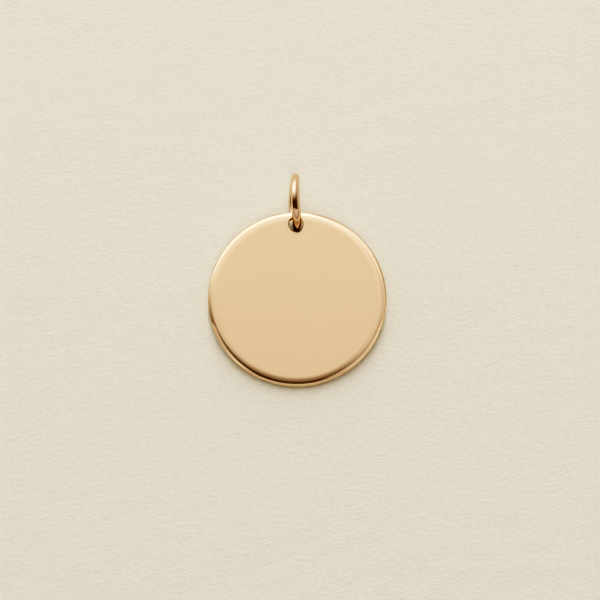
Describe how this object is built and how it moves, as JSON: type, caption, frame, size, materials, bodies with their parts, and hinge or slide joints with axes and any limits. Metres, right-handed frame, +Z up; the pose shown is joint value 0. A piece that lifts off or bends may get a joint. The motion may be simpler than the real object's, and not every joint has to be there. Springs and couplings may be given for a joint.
{
  "type": "disc pendant",
  "caption": "Plain polished round disc pendant with a hole near its rim and a plain jump ring through it, lying on a surface as it rests off its chain.",
  "frame": {"origin": "middle of the bounding box at its base, on the surface that the pendant lies on", "axes": "+Y runs from the disc to the jump ring, +Z is up, and +X is to the right with the ring away from the viewer"},
  "size_m": [0.016, 0.0192, 0.0052],
  "materials": {
    "gold_sheet": "warm gold over brass, flat faces softly polished and the edge and hole lips bright",
    "gold_wire": "warm gold over brass, drawn round wire, bright polish"
  },
  "bodies": {
    "root": {"disc": "gold_sheet", "jump_ring": "gold_wire"}
  },
  "joints": []
}
